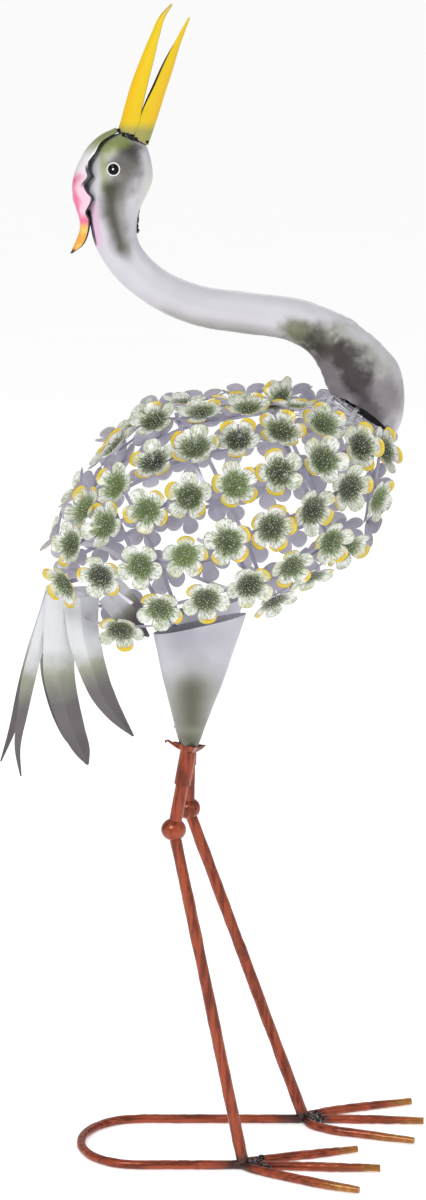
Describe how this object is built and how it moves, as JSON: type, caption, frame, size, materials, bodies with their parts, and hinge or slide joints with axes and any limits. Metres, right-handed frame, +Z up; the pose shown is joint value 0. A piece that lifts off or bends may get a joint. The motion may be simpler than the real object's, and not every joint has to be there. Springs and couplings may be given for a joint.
{
  "type": "metal heron garden statue",
  "caption": "Standing crane-like garden bird of painted sheet metal that looks up with an open beak; cage body covered in pressed flowers, rod legs on a bent-rod base.",
  "frame": {"origin": "centre of the bounding box at floor level, under the body; the feet rest on z = 0", "axes": "+Z up, +X the way the breast and toes point, the near side in the picture is -Y"},
  "size_m": [0.3777, 0.2106, 1],
  "materials": {
    "base_loop": "glossy rust-red paint over hammered steel rod",
    "beak_lower": "glossy yellow paint",
    "beak_upper": "glossy yellow paint",
    "crest": "pink to orange paint with a black edge",
    "cross_strip_front_far": "flat lilac-grey paint",
    "cross_strip_front_near": "flat lilac-grey paint",
    "cross_strip_middle_far": "flat lilac-grey paint",
    "cross_strip_middle_near": "flat lilac-grey paint",
    "cross_strip_rear_far": "flat lilac-grey paint",
    "cross_strip_rear_near": "flat lilac-grey paint",
    "eye_far": "gloss black paint with a white ring",
    "eye_near": "gloss black paint with a white ring",
    "flower_row_back": "pale green petals, dark olive hearts, yellow edges",
    "flower_row_belly_far": "pale green petals, dark olive hearts, yellow edges",
    "flower_row_belly_near": "pale green petals, dark olive hearts, yellow edges",
    "flower_row_breast": "pale green petals, dark olive hearts, yellow edges",
    "flower_row_flank_far": "pale green petals, dark olive hearts, yellow edges",
    "flower_row_flank_near": "pale green petals, dark olive hearts, yellow edges",
    "flower_row_rim_front_far": "pale green petals, dark olive hearts, yellow edges",
    "flower_row_rim_front_near": "pale green petals, dark olive hearts, yellow edges",
    "flower_row_rim_rear_far": "pale green petals, dark olive hearts, yellow edges",
    "flower_row_rim_rear_near": "pale green petals, dark olive hearts, yellow edges",
    "flower_row_shoulder_far": "pale green petals, dark olive hearts, yellow edges",
    "flower_row_shoulder_near": "pale green petals, dark olive hearts, yellow edges",
    "flower_row_side_far": "pale green petals, dark olive hearts, yellow edges",
    "flower_row_side_near": "pale green petals, dark olive hearts, yellow edges",
    "flower_row_upper_far": "pale green petals, dark olive hearts, yellow edges",
    "flower_row_upper_near": "pale green petals, dark olive hearts, yellow edges",
    "knee_bead_far": "glossy rust-red paint over hammered steel rod",
    "knee_bead_near": "glossy rust-red paint over hammered steel rod",
    "leg_far": "glossy rust-red paint over hammered steel rod",
    "leg_near": "glossy rust-red paint over hammered steel rod",
    "neck_and_head": "satin lilac-white paint, airbrushed olive and grey",
    "sleeve_far": "glossy rust-red paint over hammered steel rod",
    "sleeve_near": "glossy rust-red paint over hammered steel rod",
    "tail_feather_inner_far": "white at the root to warm dark grey at the tip",
    "tail_feather_inner_near": "white at the root to warm dark grey at the tip",
    "tail_feather_outer_far": "white at the root to warm dark grey at the tip",
    "tail_feather_outer_near": "white at the root to warm dark grey at the tip",
    "tail_feather_second_far": "white at the root to warm dark grey at the tip",
    "tail_feather_second_near": "white at the root to warm dark grey at the tip",
    "tail_feather_third_far": "white at the root to warm dark grey at the tip",
    "tail_feather_third_near": "white at the root to warm dark grey at the tip",
    "thigh_far": "satin lilac-white paint, airbrushed olive and grey",
    "thigh_near": "satin lilac-white paint, airbrushed olive and grey",
    "toe_far_middle": "brushed gold and dark grey paint",
    "toe_far_outer": "brushed gold and dark grey paint",
    "toe_near_inner": "brushed gold and dark grey paint",
    "toe_near_middle": "brushed gold and dark grey paint",
    "upper_leg_far": "glossy rust-red paint over hammered steel rod",
    "upper_leg_near": "glossy rust-red paint over hammered steel rod"
  },
  "bodies": {
    "root": {"base_loop": "base_loop", "beak_lower": "beak_lower", "beak_upper": "beak_upper", "crest": "crest", "cross_strip_front_far": "cross_strip_front_far", "cross_strip_front_near": "cross_strip_front_near", "cross_strip_middle_far": "cross_strip_middle_far", "cross_strip_middle_near": "cross_strip_middle_near", "cross_strip_rear_far": "cross_strip_rear_far", "cross_strip_rear_near": "cross_strip_rear_near", "eye_far": "eye_far", "eye_near": "eye_near", "flower_row_back": "flower_row_back", "flower_row_belly_far": "flower_row_belly_far", "flower_row_belly_near": "flower_row_belly_near", "flower_row_breast": "flower_row_breast", "flower_row_flank_far": "flower_row_flank_far", "flower_row_flank_near": "flower_row_flank_near", "flower_row_rim_front_far": "flower_row_rim_front_far", "flower_row_rim_front_near": "flower_row_rim_front_near", "flower_row_rim_rear_far": "flower_row_rim_rear_far", "flower_row_rim_rear_near": "flower_row_rim_rear_near", "flower_row_shoulder_far": "flower_row_shoulder_far", "flower_row_shoulder_near": "flower_row_shoulder_near", "flower_row_side_far": "flower_row_side_far", "flower_row_side_near": "flower_row_side_near", "flower_row_upper_far": "flower_row_upper_far", "flower_row_upper_near": "flower_row_upper_near", "knee_bead_far": "knee_bead_far", "knee_bead_near": "knee_bead_near", "leg_far": "leg_far", "leg_near": "leg_near", "neck_and_head": "neck_and_head", "sleeve_far": "sleeve_far", "sleeve_near": "sleeve_near", "tail_feather_inner_far": "tail_feather_inner_far", "tail_feather_inner_near": "tail_feather_inner_near", "tail_feather_outer_far": "tail_feather_outer_far", "tail_feather_outer_near": "tail_feather_outer_near", "tail_feather_second_far": "tail_feather_second_far", "tail_feather_second_near": "tail_feather_second_near", "tail_feather_third_far": "tail_feather_third_far", "tail_feather_third_near": "tail_feather_third_near", "thigh_far": "thigh_far", "thigh_near": "thigh_near", "toe_far_middle": "toe_far_middle", "toe_far_outer": "toe_far_outer", "toe_near_inner": "toe_near_inner", "toe_near_middle": "toe_near_middle", "upper_leg_far": "upper_leg_far", "upper_leg_near": "upper_leg_near"}
  },
  "joints": []
}
